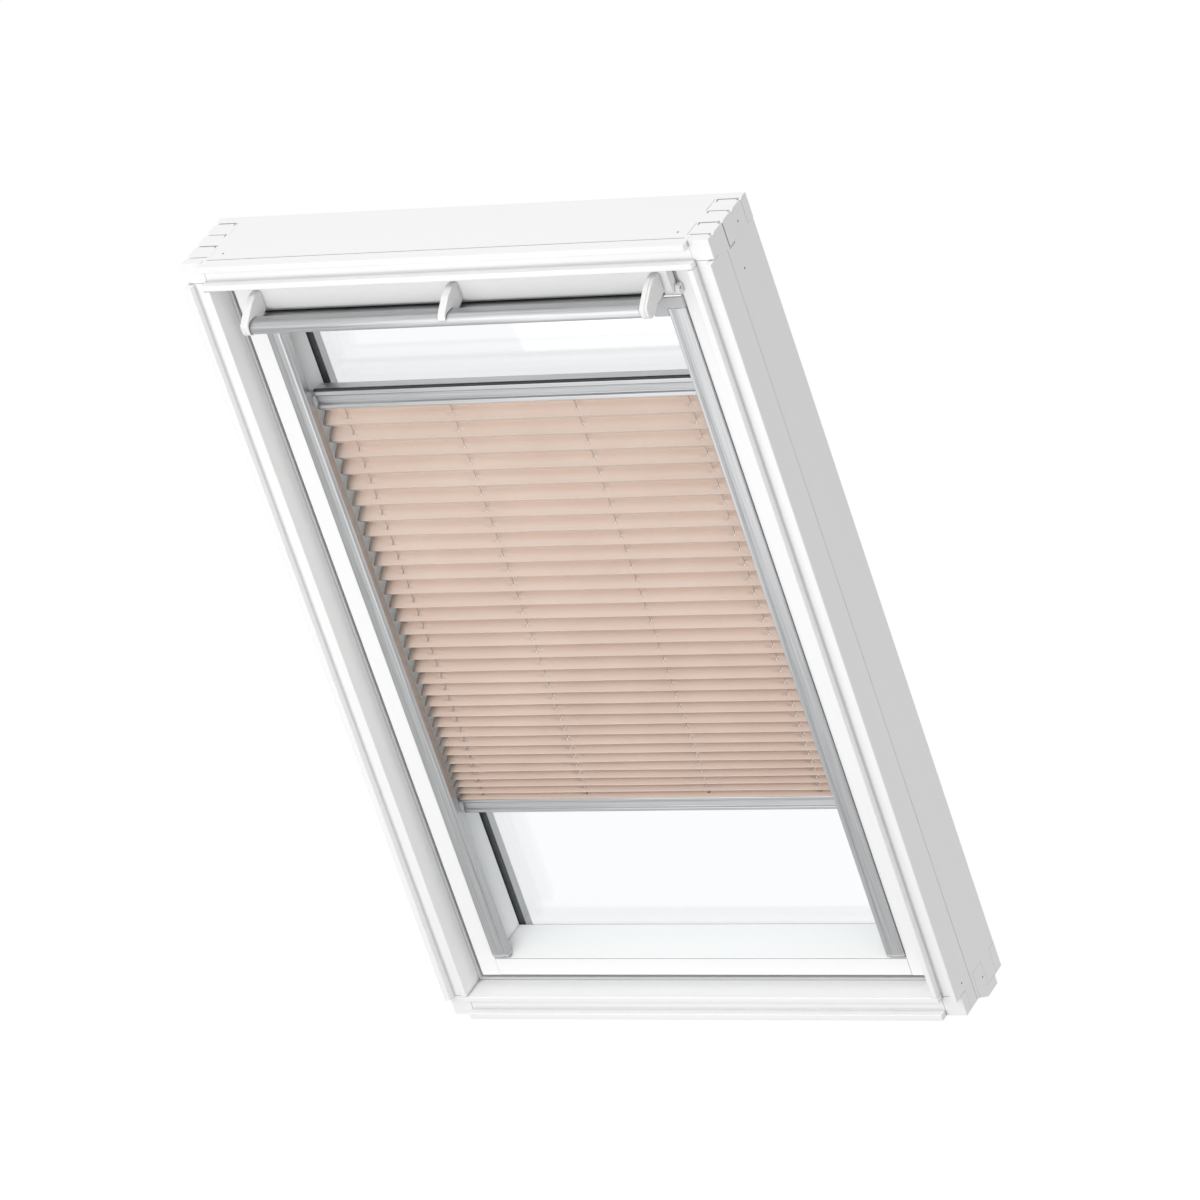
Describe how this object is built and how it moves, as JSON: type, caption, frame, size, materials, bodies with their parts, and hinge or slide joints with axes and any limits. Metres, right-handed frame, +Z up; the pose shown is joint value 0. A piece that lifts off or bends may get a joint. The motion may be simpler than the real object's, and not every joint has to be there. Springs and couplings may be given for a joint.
{
  "type": "roof window with pleated blind",
  "caption": "Centre-pivot roof window with top control bar and ventilation flap, fitted with a pleated fabric blind between two sliding rails in aluminium side tracks.",
  "frame": {"origin": "centre of the flat underside of the bottom frame member", "axes": "+X right as seen from the room, +Y from the room to the outside, +Z up the slope of the roof"},
  "size_m": [0.78, 0.1612, 1.194],
  "materials": {
    "white_coated_timber": "laminated timber with a smooth satin white polyurethane coat",
    "white_plastic": "moulded, satin",
    "grey_plastic": "moulded, satin",
    "anodised_aluminium": "extruded, natural anodised",
    "lacquered_aluminium": "matt grey lacquer",
    "zinc_plated_steel": "zinc plated",
    "black_rubber": "extruded, matt",
    "grey_rubber": "extruded, matt",
    "filter_foam": "open-cell foam",
    "clear_glass": "float glass",
    "pleated_fabric": "woven polyester, permanently pleated, matt"
  },
  "bodies": {
    "window_frame": {"frame_top": "white_coated_timber", "frame_bottom": "white_coated_timber", "frame_left": "white_coated_timber", "frame_right": "white_coated_timber", "groove_strip_top": "white_coated_timber", "groove_strip_bottom": "white_coated_timber", "groove_strip_left": "white_coated_timber", "groove_strip_right": "white_coated_timber", "weather_seal": "grey_rubber", "pivot_bearing_left": "zinc_plated_steel", "pivot_bearing_right": "zinc_plated_steel", "lock_striker": "zinc_plated_steel"},
    "sash": {"sash_top": "white_coated_timber", "sash_bottom": "white_coated_timber", "sash_left": "white_coated_timber", "sash_right": "white_coated_timber", "inner_pane": "clear_glass", "outer_pane": "clear_glass", "edge_seal": "black_rubber", "spacer_frame": "anodised_aluminium", "glazing_gasket": "black_rubber", "glazing_cover_top": "lacquered_aluminium", "glazing_cover_bottom": "lacquered_aluminium", "glazing_cover_left": "lacquered_aluminium", "glazing_cover_right": "lacquered_aluminium", "pivot_arm_left": "zinc_plated_steel", "pivot_arm_right": "zinc_plated_steel", "lock_case": "zinc_plated_steel", "filter_strip": "filter_foam", "flap_bearing_left": "white_plastic", "flap_bearing_right": "white_plastic", "side_rail_left": "anodised_aluminium", "side_rail_right": "anodised_aluminium", "rail_cap_left": "grey_plastic", "rail_cap_right": "grey_plastic", "blind_bracket_left": "grey_plastic", "blind_bracket_right": "grey_plastic", "pleated_fabric": "pleated_fabric"},
    "vent": {"vent_flap": "white_coated_timber", "flap_gasket": "black_rubber", "hinge_pin_left": "zinc_plated_steel", "hinge_pin_right": "zinc_plated_steel", "control_bar": "anodised_aluminium", "bar_end_cap_left": "white_plastic", "bar_end_cap_right": "white_plastic", "bar_bracket_left": "white_plastic", "bar_bracket_middle": "white_plastic", "bar_bracket_right": "white_plastic"},
    "latch": {"lock_latch": "zinc_plated_steel"},
    "blind_top": {"blind_top_rail": "anodised_aluminium", "top_glide_left": "grey_plastic", "top_glide_right": "grey_plastic", "top_brush": "black_rubber"},
    "blind_bottom": {"blind_bottom_rail": "anodised_aluminium", "bottom_glide_left": "grey_plastic", "bottom_glide_right": "grey_plastic"}
  },
  "joints": [
    {"name": "sash_pivot", "type": "hinge", "parent": "window_frame", "child": "sash", "pos_m": [0, 0.04, 0.59], "axis": [1, 0, 0], "range_deg": [0, 180]},
    {"name": "vent_bar", "type": "hinge", "parent": "sash", "child": "vent", "pos_m": [0, -0.0035, 1.1035], "axis": [1, 0, 0], "range_deg": [0, 40]},
    {"name": "latch_turn", "type": "hinge", "parent": "sash", "child": "latch", "pos_m": [0, 0.04, 1.122], "axis": [1, 0, 0], "range_deg": [0, 20]},
    {"name": "top_rail_slide", "type": "slide", "parent": "sash", "child": "blind_top", "axis": [0, 0, 1], "range_m": [-0.26, 0.098], "deforming": ["pleated_fabric"]},
    {"name": "bottom_rail_slide", "type": "slide", "parent": "sash", "child": "blind_bottom", "axis": [0, 0, 1], "range_m": [-0.2, 0.26], "deforming": ["pleated_fabric"]}
  ],
  "couplings": [
    {"joint": "latch_turn", "follows": "vent_bar", "ratio": 0.45}
  ]
}
